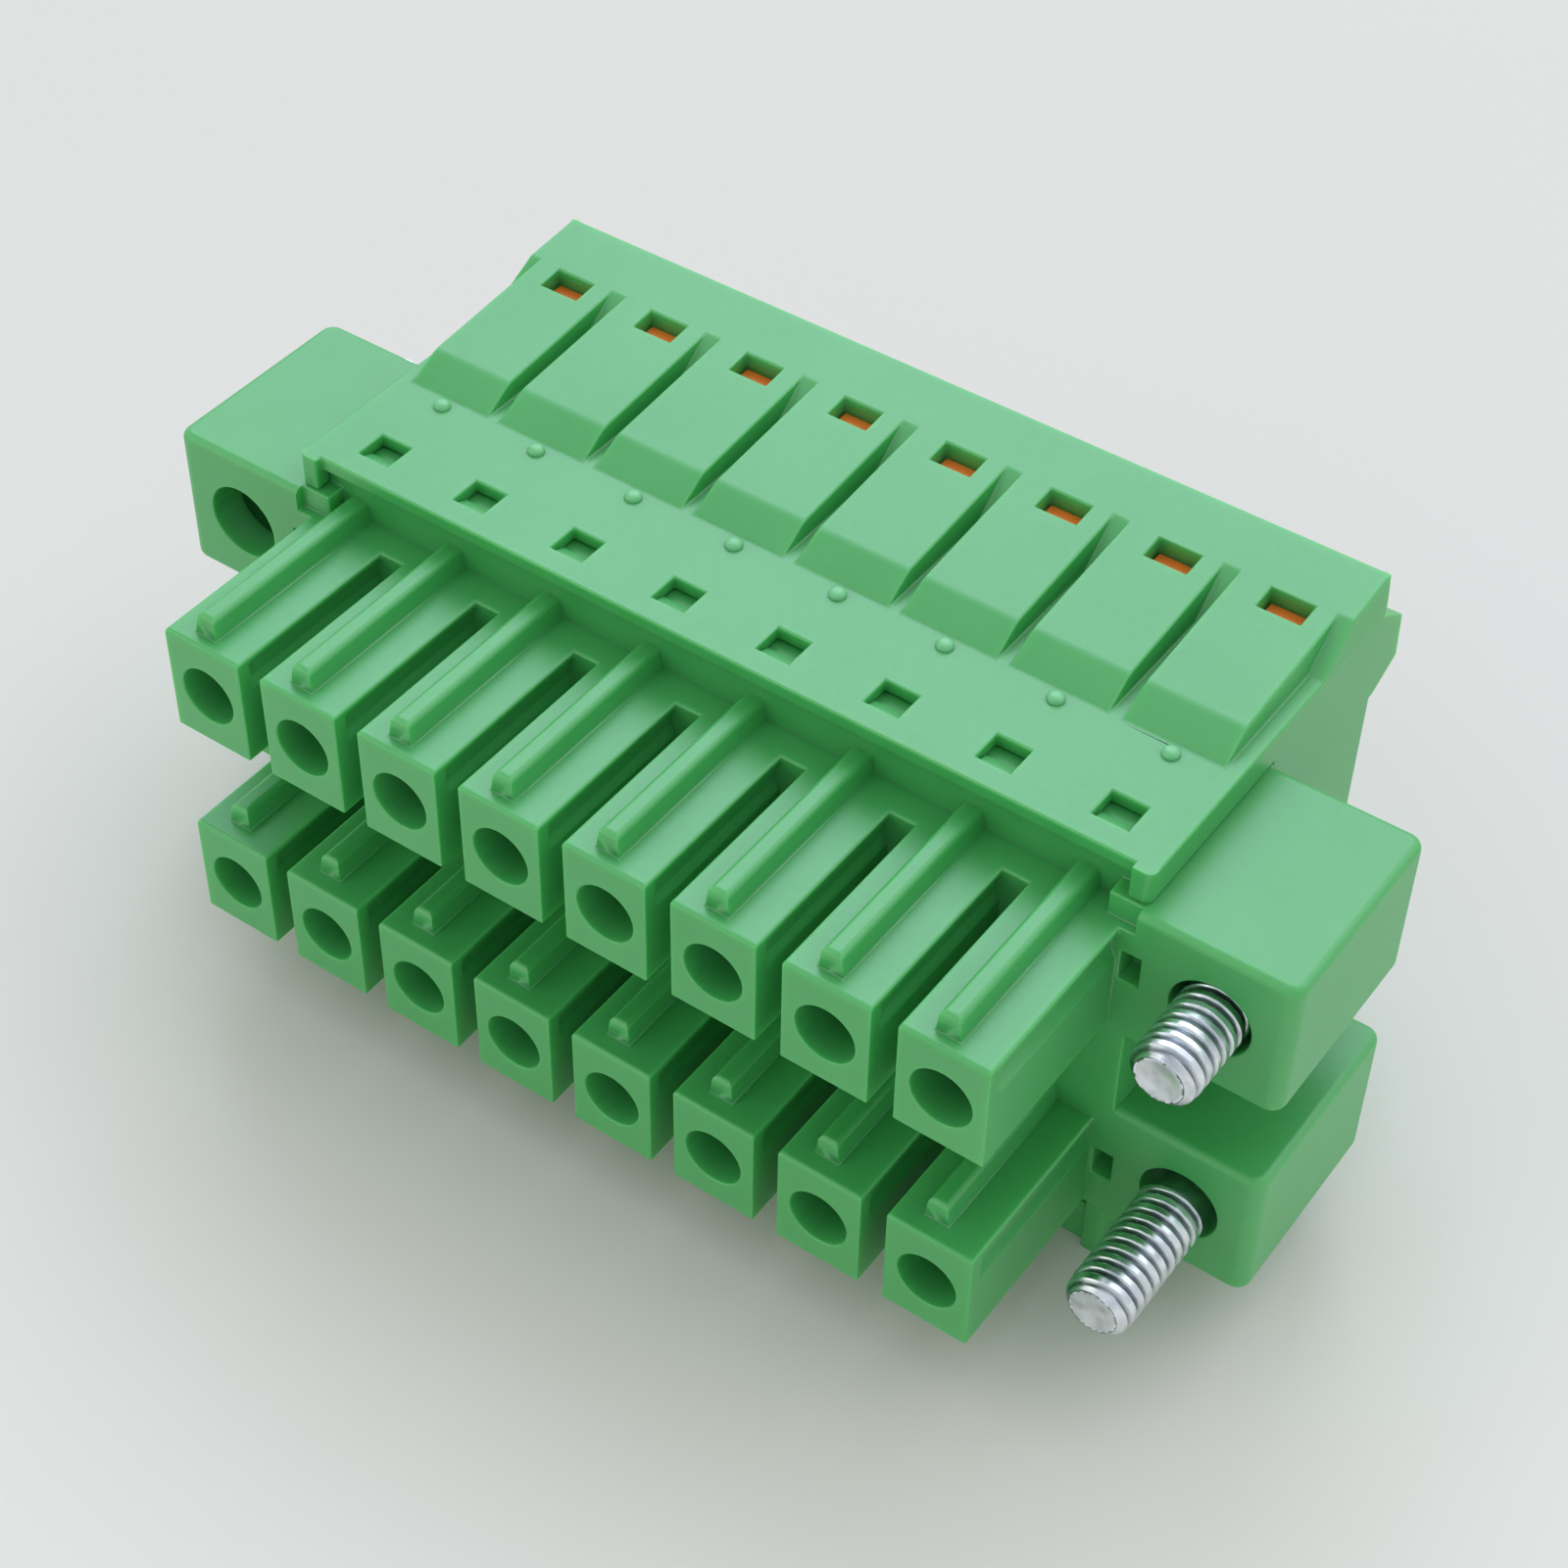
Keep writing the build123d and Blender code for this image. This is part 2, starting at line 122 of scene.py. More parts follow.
def addLamp(name, facts):
    # A round lamp that faces the object
    lamp = bpy.data.lights.new(name, "AREA")
    lamp.shape = "DISK"
    lamp.size = facts["size"]
    lamp.energy = facts["power"]
    lamp.color = facts["colour"]
    holder = bpy.data.objects.new(name, lamp)
    turn = Vector(facts["place"]).to_track_quat("Z", "Y").to_matrix().to_4x4()
    holder.matrix_world = Matrix.Translation(facts["place"]) @ turn
    bpy.context.scene.collection.objects.link(holder)


def newMaterial(name):
    material = bpy.data.materials.new(name)
    material.use_nodes = True
    tree = material.node_tree
    return material, tree, tree.nodes["Principled BSDF"]


def link(tree, source, output, target, socket):
    tree.links.new(source.outputs[output], target.inputs[socket])


def makeStudio():
    world = bpy.data.worlds.new("studioSky")
    bpy.context.scene.world = world
    world.use_nodes = True
    sky = world.node_tree.nodes["Background"]
    sky.inputs["Color"].default_value = (*studio["sky"], 1)
    sky.inputs["Strength"].default_value = studio["skyStrength"]
    for name, facts in lamps.items():
        addLamp(name, facts)
    # Floor: a flat sheet, a shade darker away from the camera. Its lighter near side is painted
    # light that softens the object's shadow there.
    half = studio["floorHalf"]
    sheet = bpy.data.meshes.new("studioFloor")
    sheet.from_pydata([(-half, -half, 0), (half, -half, 0), (half, half, 0), (-half, half, 0)],
                      [], [(0, 1, 2, 3)])
    floor = bpy.data.objects.new("studioFloor", sheet)
    bpy.context.scene.collection.objects.link(floor)
    material, tree, surface = newMaterial("paleFloor")
    place = tree.nodes.new("ShaderNodeTexCoord")
    turn = tree.nodes.new("ShaderNodeMapping")
    turn.inputs["Rotation"].default_value = (0, 0, math.radians(-camera["azimuth"]))
    split = tree.nodes.new("ShaderNodeSeparateXYZ")
    spread = tree.nodes.new("ShaderNodeMapRange")
    spread.interpolation_type = "SMOOTHSTEP"
    spread.inputs["From Min"].default_value = studio["nearUpTo"]
    spread.inputs["From Max"].default_value = studio["farFrom"]
    shade = tree.nodes.new("ShaderNodeMix")
    shade.data_type = "RGBA"
    shade.inputs["A"].default_value = (*studio["floorNearPaintedLight"], 1)
    shade.inputs["B"].default_value = (*studio["floorFar"], 1)
    link(tree, place, "Object", turn, "Vector")
    link(tree, turn, "Vector", split, "Vector")
    link(tree, split, "Y", spread, "Value")
    link(tree, spread, "Result", shade, "Factor")
    link(tree, shade, "Result", surface, "Base Color")
    surface.inputs["Roughness"].default_value = studio["floorRoughness"]
    surface.inputs["Specular IOR Level"].default_value = studio["floorGloss"]
    sheet.materials.append(material)
    bpy.context.scene.view_settings.view_transform = "Standard"


makeStudio()
print("camera and studio placed")


# Moulded plastics: satin, a little light passes through thin walls. What they share are
# faint clouds of the lighter colour, and a fine grain in roughness and height.
moulded = {"cloud": 0.004, "cloudDetail": 3, "cloudFrom": 0.3, "cloudTo": 0.7,
           "grainDetail": 4, "smoother": 0.05, "rougher": 0.09, "ior": 1.53}
greenPlastic = {"colour": (0.048, 0.385, 0.088), "lighter": (0.060, 0.410, 0.102),
                "glow": 0.60, "glowDepth": 0.0008, "glowColours": (0.45, 1.0, 0.25),
                "gloss": 0.95, "roughness": 0.40, "grain": 0.00012, "grainDepth": 0.000003}
# The deck studs' paler green is a painted highlight, standing in for the light the domes catch.
paintedHighlightPlastic = dict(greenPlastic, colour=(0.12, 0.50, 0.19), lighter=(0.15, 0.53, 0.22))
orangePlastic = {"colour": (0.80, 0.17, 0.015), "lighter": (0.88, 0.21, 0.02),
                 "glow": 0.25, "glowDepth": 0.0006, "glowColours": (1.0, 0.35, 0.1),
                 "gloss": 0.5, "roughness": 0.36, "grain": 0.00012, "grainDepth": 0.000003}
# Metals: their colour and that of their stains. Thread grooves get painted shade, a share of the
# darker one, deepest at the root.
metallic = {"mottleDetail": 5, "mottleFrom": 0.42, "mottleTo": 0.78, "scratchDetail": 3,
            "smoother": 0.06, "rougher": 0.12, "groovePaintedShade": 0.55}
zincPlate = {"colour": (0.80, 0.84, 0.87), "darker": (0.42, 0.46, 0.50), "roughness": 0.22,
             "mottle": 0.0006, "scratch": 0.00005, "scratchDepth": 0.000002}
tinPlate = {"colour": (0.75, 0.74, 0.71), "darker": (0.55, 0.54, 0.52), "roughness": 0.38,
            "mottle": 0.0008, "scratch": 0.00008, "scratchDepth": 0.000002}
springStrip = {"colour": (0.62, 0.62, 0.60), "darker": (0.42, 0.42, 0.42), "roughness": 0.28,
               "mottle": 0.0007, "scratch": 0.00006, "scratchDepth": 0.000002}


def addNoise(tree, place, size, detail):
    noise = tree.nodes.new("ShaderNodeTexNoise")
    noise.inputs["Scale"].default_value = 1 / size
    noise.inputs["Detail"].default_value = detail
    link(tree, place, "Object", noise, "Vector")
    return noise


def addBump(tree, surface, noise, depth):
    bump = tree.nodes.new("ShaderNodeBump")
    bump.inputs["Strength"].default_value = 1.0
    bump.inputs["Distance"].default_value = depth
    link(tree, noise, "Fac", bump, "Height")
    link(tree, bump, "Normal", surface, "Normal")


def mixByNoise(tree, noise, low, high, colours):
    spread = tree.nodes.new("ShaderNodeMapRange")
    spread.inputs["From Min"].default_value = low
    spread.inputs["From Max"].default_value = high
    blend = tree.nodes.new("ShaderNodeMix")
    blend.data_type = "RGBA"
    blend.inputs["A"].default_value = (*colours[0], 1)
    blend.inputs["B"].default_value = (*colours[1], 1)
    link(tree, noise, "Fac", spread, "Value")
    link(tree, spread, "Result", blend, "Factor")
    return blend


def addSheen(tree, surface, noise, smoothest, roughest):
    sheen = tree.nodes.new("ShaderNodeMapRange")
    sheen.inputs["To Min"].default_value = smoothest
    sheen.inputs["To Max"].default_value = roughest
    link(tree, noise, "Fac", sheen, "Value")
    link(tree, sheen, "Result", surface, "Roughness")


def makePlastic(name, finish):
    material, tree, surface = newMaterial(name)
    place = tree.nodes.new("ShaderNodeTexCoord")
    clouds = addNoise(tree, place, moulded["cloud"], moulded["cloudDetail"])
    grain = addNoise(tree, place, finish["grain"], moulded["grainDetail"])
    blend = mixByNoise(tree, clouds, moulded["cloudFrom"], moulded["cloudTo"],
                       (finish["colour"], finish["lighter"]))
    link(tree, blend, "Result", surface, "Base Color")
    addSheen(tree, surface, grain, finish["roughness"] - moulded["smoother"],
             finish["roughness"] + moulded["rougher"])
    surface.inputs["IOR"].default_value = moulded["ior"]
    surface.inputs["Specular IOR Level"].default_value = finish["gloss"]
    surface.inputs["Subsurface Weight"].default_value = finish["glow"]
    surface.inputs["Subsurface Radius"].default_value = finish["glowColours"]
    surface.inputs["Subsurface Scale"].default_value = finish["glowDepth"]
    addBump(tree, surface, grain, finish["grainDepth"])
    return material


def makeMetal(name, finish, groove):
    material, tree, surface = newMaterial(name)
    place = tree.nodes.new("ShaderNodeTexCoord")
    stains = addNoise(tree, place, finish["mottle"], metallic["mottleDetail"])
    scratches = addNoise(tree, place, finish["scratch"], metallic["scratchDetail"])
    blend = mixByNoise(tree, stains, metallic["mottleFrom"], metallic["mottleTo"],
                       (finish["colour"], finish["darker"]))
    tint = blend
    if groove:
        # Painted shade in the thread grooves: the piece carries its own depth from crest to
        # root, and the colour darkens with it
        depth = tree.nodes.new("ShaderNodeAttribute")
        depth.attribute_name = "grooveDepth"
        tint = tree.nodes.new("ShaderNodeMix")
        tint.data_type = "RGBA"
        shade = [metallic["groovePaintedShade"] * c for c in finish["darker"]]
        tint.inputs["B"].default_value = (*shade, 1)
        link(tree, blend, "Result", tint, "A")
        link(tree, depth, "Fac", tint, "Factor")
    link(tree, tint, "Result", surface, "Base Color")
    addSheen(tree, surface, stains, finish["roughness"] - metallic["smoother"],
             finish["roughness"] + metallic["rougher"])
    surface.inputs["Metallic"].default_value = 1.0
    addBump(tree, surface, scratches, finish["scratchDepth"])
    return material


paints = {"green_moulding": makePlastic("greenPolyamide", greenPlastic),
          "painted_highlight_green": makePlastic("paintedHighlightGreenPolyamide", paintedHighlightPlastic),
          "orange_button": makePlastic("orangePolyamide", orangePlastic),
          "zinc_screw": makeMetal("zincPlatedSteel", zincPlate, True),
          "tinned_contact": makeMetal("tinnedCopper", tinPlate, False),
          "spring_steel": makeMetal("stainlessStrip", springStrip, False)}
print("finishes mixed")


def finishPiece(mesh, name, body, slotName, *stoodFor, paint=None):
    piece = bpy.data.objects.new(name, mesh)
    bpy.context.scene.collection.objects.link(piece)
    mesh.materials.clear()
    mesh.materials.append(paints[paint or slotName])
    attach(piece, body)
    if stoodFor:
        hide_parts(*stoodFor)
    return piece


# Button steps: each button carries a step that nearly fills its view window from below. The
# housing's copy is hollowed in front of the window by the button's travel, so that it can run.
# Millimetres: y runs from the window's front wall to its back wall. Side, above and ahead are
# the room that the hollow has round the step. It starts at its floor, and ends a little short
# of the step's back, in the open window, so that the window's back wall stays whole.
buttonStep = {"front": 5.865, "back": 6.69, "top": 15.97, "foot": 14.60, "heel": 15.58,
              "heelBack": 7.12, "halfWidth": 0.61, "travel": 1.3, "edge": 0.035,
              "side": 0.04, "above": 0.05, "ahead": 0.065, "short": 0.02, "floor": 14.70}
buttonBoxes = [nodes[f"push_button_upper_{pole}"].bound_box for pole in poles]
poleX = [(corners[0][0] + corners[6][0]) / 2 / mm for corners in buttonBoxes]
plugHeight = cadBox[1][2] / mm


def stepRoom(x, upper):
    # The space one step runs in, from its pressed place to the window's back wall
    s = buttonStep
    z = np.array([s["floor"], s["top"] + s["above"]])
    z = z if upper else np.sort(plugHeight - z)
    wide = s["halfWidth"] + s["side"]
    return ((x - wide, s["front"] - s["travel"] - s["ahead"], z[0]),
            (x + wide, s["back"] - s["short"], z[1]))


# Mouldings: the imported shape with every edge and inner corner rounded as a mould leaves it.
# Each region is a box from low to high in millimetres whose edges get their own rounding.
frontY = cadBox[0][1] / mm
fingerTops = [{"radius": 0.16, "low": (-14, frontY - 1, low), "high": (14, frontY + 7, high)}
              for low, high in ((13.6, 13.8), (6.1, 6.3))]
mouldings = {
    "contact_carrier": {"name": "contactCarrier", "body": plugBody, "slot": "green_moulding",
                        "edge": 0.05, "steps": 3, "regions": fingerTops, "cavities": []},
    "rear_housing": {"name": "rearHousing", "body": plugBody, "slot": "green_moulding",
                     "edge": 0.07, "steps": 3, "regions": (),
                     "cavities": [stepRoom(x, upper) for x in poleX for upper in (True, False)]}}
for row in rows:
    for pole in poles:
        mouldings[f"push_button_{row}_{pole}"] = {
            "name": f"pushButton_{row}_{pole}", "body": f"button_{row}_{pole}",
            "slot": "orange_button", "edge": 0.06, "steps": 2, "regions": (), "cavities": []}
# An edge is rounded where it bends sharply, or more gently between two broad faces. Where an
# end has little room, only the last bit of the edge is rounded less. Angles in degrees, sizes
# in millimetres.
rounding = {"sharpFrom": 32, "bendFrom": 3, "flatBelow": 1, "besideBelow": 25,
            "runsOnAbove": 100, "straightFrom": 179.6, "mergeBelow": 0.6,
            "broadFrom": 0.28, "lastBit": 0.20, "leastRadius": 0.006, "weld": 0.0002,
            "roomShare": 0.42, "sweeps": 40, "flatWeight": 50}


def setOffLastBits(work):
    # A long edge that ends among short ones gets a point near that end
    lastBit = rounding["lastBit"] * mm
    room = {vert: min(edge.calc_length() for edge in vert.link_edges) for vert in work.verts}
    for edge in list(work.edges):
        for vert in list(edge.verts):
            length = edge.calc_length()
            if room[vert] < lastBit and length > 3 * lastBit:
                bmesh.utils.edge_split(edge, vert, lastBit / length)


def flatBreadths(work):
    # Faces that lie flat beside each other count as one. Its breadth is twice its area over
    # the length of its outline.
    flatBelow = math.radians(rounding["flatBelow"])
    count = len(work.faces)
    group = np.arange(count)
    area = np.array([face.calc_area() for face in work.faces])
    ends = [(edge.link_faces[0].index, edge.link_faces[1].index, edge.calc_length(),
             abs(edge.calc_face_angle(0)) < flatBelow)
            for edge in work.edges if len(edge.link_faces) == 2]
    pair = np.array([(a, b) for a, b, length, flat in ends if flat], dtype=int).reshape(-1, 2)
    for sweep in range(count):
        lower = group[pair].min(1)
        if (group[pair] == lower[:, None]).all():
            break
        np.minimum.at(group, pair, np.stack([lower, lower], 1))
    total = np.bincount(group, area, count)
    outline = np.zeros(count)
    for a, b, length, flat in ends:
        if group[a] != group[b]:
            outline[group[a]] += length
            outline[group[b]] += length
    return 2 * total[group] / np.maximum(outline[group], 1e-9)


def edgeRounding(work, facts):
    # Radius of every edge in metres: none where the faces run on, the moulding's own one
    # elsewhere, and a region's where both ends of an edge that stands proud lie in its box
    breadth = flatBreadths(work)
    sharpFrom, bendFrom = (math.radians(rounding[k]) for k in ("sharpFrom", "bendFrom"))
    radii = []
    for edge in work.edges:
        bend = edge.calc_face_angle_signed(0)
        broad = all(breadth[face.index] > rounding["broadFrom"] * mm
                    for face in edge.link_faces)
        rounded = abs(bend) > sharpFrom or (broad and abs(bend) > bendFrom)
        radius = facts["edge"] if rounded else 0
        for region in facts["regions"]:
            ends = [v.co / mm for v in edge.verts]
            inside = all(region["low"][i] <= end[i] <= region["high"][i]
                         for end in ends for i in range(3))
            if inside and bend > sharpFrom:
                radius = region["radius"]
        radii.append(radius * mm)
    return np.array(radii)


def settleRadii(work, wanted):
    # Each radius is held to a share of the shortest edge at its ends. Two rounded edges that
    # leave a corner side by side stay sharp, and two that run on into each other at a slight
    # bend share the smaller radius, all along such a run.
    room = np.array([min(edge.calc_length() for edge in vert.link_edges)
                     for vert in work.verts])
    ends = np.array([[vert.index for vert in edge.verts] for edge in work.edges])
    radii = np.minimum(wanted, rounding["roomShare"] * room[ends].min(1))
    radii[radii < rounding["leastRadius"] * mm] = 0
    beside, runOn, straight = (math.radians(rounding[k])
                               for k in ("besideBelow", "runsOnAbove", "straightFrom"))
    besides, runsOn = [], []
    for vert in work.verts:
        rounded = [edge for edge in vert.link_edges if radii[edge.index] > 0]
        for i, one in enumerate(rounded):
            for other in rounded[:i]:
                turn = (one.other_vert(vert).co - vert.co).angle(
                    other.other_vert(vert).co - vert.co)
                if turn < beside:
                    besides.append((one.index, other.index))
                elif runOn < turn < straight:
                    runsOn.append((one.index, other.index))
    radii[np.array(besides, dtype=int).ravel()] = 0
    pairs = np.array(runsOn, dtype=int).reshape(-1, 2)
    for sweep in range(rounding["sweeps"]):
        smaller = radii[pairs].min(1)
        np.minimum.at(radii, pairs, np.stack([smaller, smaller], 1))
    return radii


def boxMesh(name, boxes):
    # Each box is (low corner, high corner) in millimetres. Corner k takes its x, y and z from
    # the low or the high one by the three bits of k.
    bits = (np.arange(8)[:, None] >> np.array([2, 1, 0])) & 1
    low, high = (np.array([b[i] for b in boxes])[:, None, :] for i in (0, 1))
    corners = (low + (high - low) * bits) * mm
    sides = np.array([(0, 1, 3, 2), (4, 6, 7, 5), (0, 4, 5, 1), (2, 3, 7, 6), (0, 2, 6, 4),
                      (1, 5, 7, 3)])
    faces = (sides[None] + 8 * np.arange(len(boxes))[:, None, None]).reshape(-1, 4)
    mesh = bpy.data.meshes.new(name)
    mesh.from_pydata(corners.reshape(-1, 3), [], faces.tolist())
    return mesh


def cutAway(mesh, boxes):
    # Takes the boxes off a merged copy of a moulding
    scene = bpy.context.scene.collection.objects
    body = bpy.data.objects.new("uncutMoulding", mesh)
    knife = bpy.data.objects.new("cavityBoxes", boxMesh("cavityBoxes", boxes))
    for thing in (body, knife):
        scene.link(thing)
    cut = body.modifiers.new("cavities", "BOOLEAN")
    cut.operation = "DIFFERENCE"
    cut.solver = "EXACT"
    cut.object = knife
    made = bpy.data.meshes.new_from_object(
        body.evaluated_get(bpy.context.evaluated_depsgraph_get()))
    for thing in (body, knife):
        bpy.data.objects.remove(thing)
    return made


def welded(mesh):
    # An open copy for editing, with the points that lie together merged
    work = bmesh.new()
    work.from_mesh(mesh)
    bmesh.ops.remove_doubles(work, verts=work.verts, dist=rounding["weld"] * mm)
    return work


def roundedCopy(node, facts):
    mesh = nodes[node].data.copy()
    work = welded(mesh)
    if facts["cavities"]:
        work.to_mesh(mesh)
        work.free()
        mesh = cutAway(mesh, facts["cavities"])
        work = welded(mesh)
    mesh.name = facts["name"]
    bmesh.ops.dissolve_limit(work, angle_limit=math.radians(rounding["mergeBelow"]),
                             verts=work.verts, edges=work.edges)
    setOffLastBits(work)
    for face in work.faces:
        face.smooth = True
    work.faces.index_update()
    work.edges.index_update()
    work.verts.index_update()
    wanted = edgeRounding(work, facts)
    radii = settleRadii(work, wanted)
    for edge in work.edges:
        edge.smooth = not (wanted[edge.index] > 0 and radii[edge.index] == 0)
    work.to_mesh(mesh)
    work.free()
    for layer in [a.name for a in mesh.attributes if a.name == "custom_normal"]:
        mesh.attributes.remove(mesh.attributes[layer])
    weights = mesh.attributes.new("bevel_weight_edge", "FLOAT", "EDGE")
    weights.data.foreach_set("value", (radii / wanted.max()).astype(np.float32))
    piece = finishPiece(mesh, facts["name"], facts["body"], facts["slot"], node)
    bevel = piece.modifiers.new("mouldRounding", "BEVEL")
    bevel.width = float(wanted.max())
    bevel.segments = facts["steps"]
    bevel.limit_method = "WEIGHT"
    bevel.use_clamp_overlap = False
    even = piece.modifiers.new("flatFaces", "WEIGHTED_NORMAL")
    even.mode = "FACE_AREA"
    even.weight = rounding["flatWeight"]
    even.keep_sharp = True


for node, facts in mouldings.items():
    roundedCopy(node, facts)
print("mouldings rounded")


def bevelled(piece, width, steps, sharpFrom=40):
    bevel = piece.modifiers.new("edgeRounding", "BEVEL")
    bevel.width = width * mm
    bevel.segments = steps
    bevel.limit_method = "ANGLE"
    bevel.angle_limit = math.radians(sharpFrom)
    bevel.harden_normals = True


def makeButtonSteps():
    # The step's outline in y and z is drawn out across the button
    s = buttonStep
    outline = np.array([(s["front"], s["foot"]), (s["front"], s["top"]), (s["back"], s["top"]),
                        (s["back"], s["heel"]), (s["heelBack"], s["heel"]),
                        (s["heelBack"], s["foot"])])
    count = len(outline)
    for row in rows:
        z = outline[:, 1] if row == "upper" else plugHeight - outline[:, 1]
        for pole, x in enumerate(poleX, 1):
            rings = [np.stack([np.full(count, side), outline[:, 0], z], 1)
                     for side in (x - s["halfWidth"], x + s["halfWidth"])]
            walls = [(i, (i + 1) % count, count + (i + 1) % count, count + i)
                     for i in range(count)]
            mesh = bpy.data.meshes.new(f"buttonStep_{row}_{pole}")
            mesh.from_pydata(np.concatenate(rings) * mm, [],
                             walls + [tuple(range(count)), tuple(range(count, 2 * count))])
            closeSeams(mesh)
            piece = finishPiece(mesh, f"buttonStep_{row}_{pole}", f"button_{row}_{pole}",
                                "orange_button")
            bevelled(piece, s["edge"], steps=2)


# Deck studs: a small round dome before each raised block. Millimetres.
deckStud = {"radius": 0.27, "height": 0.18, "y": 0.375, "deck": 15.55, "sink": 0.03,
            "around": 28, "rings": 10}


def makeDeckStuds():
    # Height over the deck at radius r is h times the root of 1 - (r / R) cubed, closed below
    s = deckStud
    share = np.sin(np.linspace(0, math.pi / 2, s["rings"]))
    rise = s["height"] * np.sqrt(np.maximum(1 - share ** 3, 0))
    radius = np.concatenate([share, [1, 0]]) * s["radius"]
    height = np.concatenate([rise, [-s["sink"], -s["sink"]]])
    angle = np.arange(s["around"]) / s["around"] * 2 * math.pi
    for pole, x in enumerate(poleX, 1):
        points = np.stack([x + radius[:, None] * np.cos(angle),
                           s["y"] + radius[:, None] * np.sin(angle),
                           s["deck"] + height[:, None] + 0 * angle], -1) * mm
        # The studs take the paler green, a painted highlight.
        finishPiece(wrapGrid(f"deckStud_{pole}", points), f"deckStud_{pole}", plugBody,
                    "green_moulding", paint="painted_highlight_green")


# Flange screws: M2 thread rolled on, slotted cheese head. Millimetres; shares are of a pitch,
# and the dish's hollow is given at each of its radii as a share of its depth.
screw = {"crestRadius": 1.0, "rootRadius": 0.80, "pitch": 0.4, "crestShare": 0.50,
         "grooveShare": 0.90, "crestSoftness": 0.4, "threadLength": 4.2, "runOut": 0.2,
         "neckRadius": 0.8, "length": 5.6, "sink": 0.1, "around": 72, "rowsPerTurn": 14}
screwTip = {"radius": 0.78, "chamfer": 0.22, "threadFrom": 0.05, "threadRise": 1.2,
            "under": 0.06, "dish": 0.06, "dishRadii": (0.0, 0.2, 0.42, 0.58, 0.66, 0.73),
            "dishShares": (1.0, 0.95, 0.6, 0.12, 0.0, 0.0)}
screwHead = {"radius": 1.4, "height": 0.8, "gap": 0.01, "slotWidth": 0.5, "slotDepth": 0.4,
             "rounding": 0.1, "chords": 33, "alongChord": 17, "rimSteps": 5,
             "clearOfWalls": 0.03}


def wrapGrid(name, points, attribute=None):
    # A grid of rows that close round on themselves. Rows that shrink to a point are merged.
    rows, around = points.shape[:2]
    index = np.arange(rows * around).reshape(rows, around)
    turned = np.roll(index, -1, axis=1)
    faces = np.stack([index[:-1], turned[:-1], turned[1:], index[1:]], -1).reshape(-1, 4)
    mesh = bpy.data.meshes.new(name)
    mesh.from_pydata(points.reshape(-1, 3), [], faces.tolist())
    if attribute is not None:
        layer = mesh.attributes.new(attribute[0], "FLOAT", "POINT")
        layer.data.foreach_set("value", attribute[1].astype(np.float32).ravel())
    closeSeams(mesh)
    return mesh


def closeSeams(mesh, near=1e-7, nil=1e-8):
    # Merges points closer than near, drops edges shorter than nil and turns faces outward
    work = bmesh.new()
    work.from_mesh(mesh)
    bmesh.ops.remove_doubles(work, verts=work.verts, dist=near)
    bmesh.ops.dissolve_degenerate(work, edges=work.edges, dist=nil)
    bmesh.ops.recalc_face_normals(work, faces=work.faces)
    for face in work.faces:
        face.smooth = True
    work.to_mesh(mesh)
    work.free()
    mesh.update()


def threadedShank(name, x, z, tipY):
    # Radius is the root plus the groove depth times a wave of (y / pitch - turn), held under
    # the tip's cone and let down to the neck past the thread. Angle runs round the axis and y
    # from the tip into the head. The wave is flat on the crest and in the groove, with a
    # straight flank partly bent to 3 c squared minus 2 c cubed.
    s, t = screw, screwTip
    turn = np.arange(s["around"]) / s["around"]
    steps = int((s["length"] + s["sink"]) / s["pitch"] * s["rowsPerTurn"])
    along = np.linspace(0, s["length"] + s["sink"], steps)
    phase = along[:, None] / s["pitch"] - turn[None, :]
    away = np.abs(phase - np.round(phase))
    flank = (s["grooveShare"] - s["crestShare"]) / 2
    crest = 1 - np.clip((away - s["crestShare"] / 2) / flank, 0, 1)
    soft = s["crestSoftness"]
    crest = (1 - soft) * crest + soft * crest * crest * (3 - 2 * crest)
    fade = np.clip((along - t["threadFrom"]) / (t["threadRise"] * s["pitch"]), 0, 1)[:, None]
    limit = t["radius"] + (s["crestRadius"] - t["radius"]) * np.clip(
        along / t["chamfer"], 0, 1)[:, None]
    radius = s["rootRadius"] + (s["crestRadius"] - s["rootRadius"]) * crest
    radius = np.minimum(limit, radius * fade + (limit - t["under"]) * (1 - fade))
    threaded = np.clip((s["threadLength"] - along) / s["runOut"], 0, 1)[:, None]
    radius = s["neckRadius"] + (radius - s["neckRadius"]) * threaded
    capR = np.array(t["dishRadii"])
    capY = t["dish"] * np.array(t["dishShares"])
    flat = np.ones(s["around"])
    radius = np.vstack([capR[:, None] * flat, radius, 0 * flat])
    along = np.concatenate([capY, along, along[-1:]])
    # The groove depth is kept on the points for the painted shade in the grooves.
    depth = np.vstack([0 * capR[:, None] * flat, (1 - crest) * threaded, 0 * flat])
    angle = turn * 2 * math.pi
    points = np.stack([x + radius * np.sin(angle), tipY + along[:, None] + 0 * radius,
                       z + radius * np.cos(angle)], -1) * mm
    return wrapGrid(name, points, ("grooveDepth", depth))


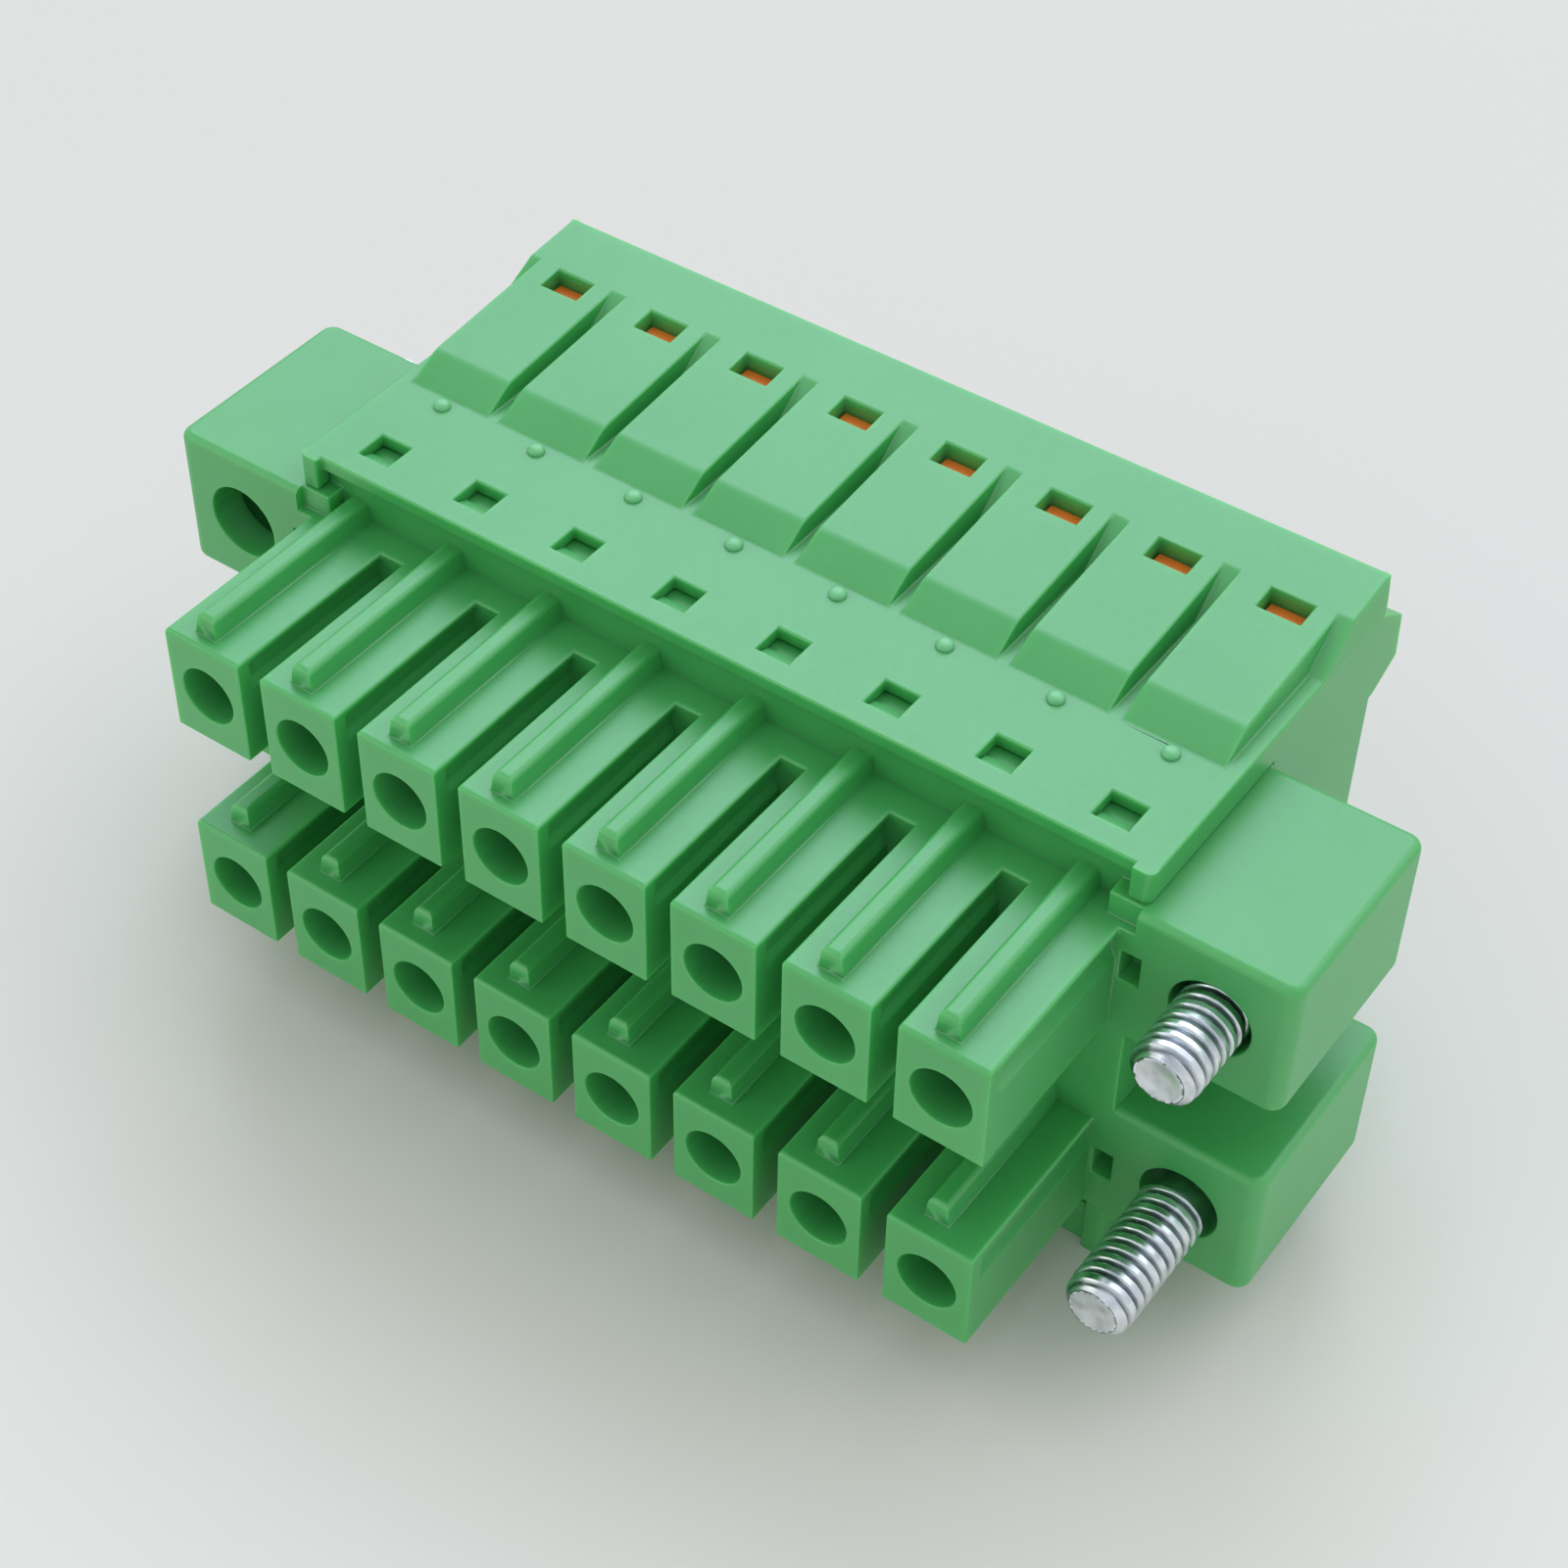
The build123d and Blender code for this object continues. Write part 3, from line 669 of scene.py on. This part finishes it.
def slottedHead(name, x, z, baseY):
    # A round plate swept by chords: u runs across the slot and v along each chord. The outer
    # face's height is a function of u alone, stepping down between the slot's two walls.
    s = screwHead
    half = s["slotWidth"] / 2
    swing = np.linspace(-math.pi / 2, math.pi / 2, s["chords"])
    u = s["radius"] * np.sin(swing)
    u = u[np.abs(np.abs(u) - half) > s["clearOfWalls"]]
    u = np.sort(np.concatenate([u, [-half, -half, half, half]]))
    low = np.zeros(len(u), bool)
    walls = np.where(np.isclose(np.abs(u), half))[0]
    low[walls[1]:walls[2] + 1] = True
    top = s["height"] - s["slotDepth"] * low
    v = np.linspace(-1, 1, s["alongChord"])
    chord = np.sqrt(np.maximum(s["radius"] ** 2 - u ** 2, 0))
    across = u[:, None] + 0 * v
    side = chord[:, None] * v
    sheetTop = np.stack([side, top[:, None] + 0 * side, across], -1)
    sheetBase = np.stack([side, 0 * side, across], -1)[:, ::-1]
    wall = np.linspace(0, 1, s["rimSteps"])[1:-1]
    rimA = sheetTop[:, -1:] * (1 - wall)[:, None] + sheetBase[:, :1] * wall[:, None]
    rimB = sheetBase[:, -1:] * (1 - wall)[:, None] + sheetTop[:, :1] * wall[:, None]
    rings = np.concatenate([sheetTop, rimA, sheetBase, rimB], 1)
    points = (rings + np.array([x, baseY, z])) * mm
    return wrapGrid(name, points)


def makeScrews():
    for corner in ("upper_right", "lower_right", "upper_left", "lower_left"):
        node = f"flange_screw_{corner}"
        low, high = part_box(node)
        x, z = ((low[i] + high[i]) / 2 / mm for i in (0, 2))
        tipY = low.y / mm
        seatY = tipY + screw["length"]
        shank = threadedShank(f"screwShank_{corner}", x, z, tipY)
        finishPiece(shank, f"screwShank_{corner}", f"screw_{corner}", "zinc_screw", node)
        head = slottedHead(f"screwHead_{corner}", x, z, seatY + screwHead["gap"])
        piece = finishPiece(head, f"screwHead_{corner}", f"screw_{corner}", "zinc_screw", node)
        bevelled(piece, screwHead["rounding"], steps=3)


makeScrews()
print("screws threaded")
makeButtonSteps()
makeDeckStuds()
print("button steps and deck studs placed")


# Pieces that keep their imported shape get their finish
for row in rows:
    for pole in poles:
        for node, slotName in ((f"contact_{row}_{pole}", "tinned_contact"),
                               (f"leg_spring_{row}_{pole}", "spring_steel")):
            mesh = nodes[node].data
            mesh.materials.clear()
            mesh.materials.append(paints[slotName])
print("contacts and springs finished")
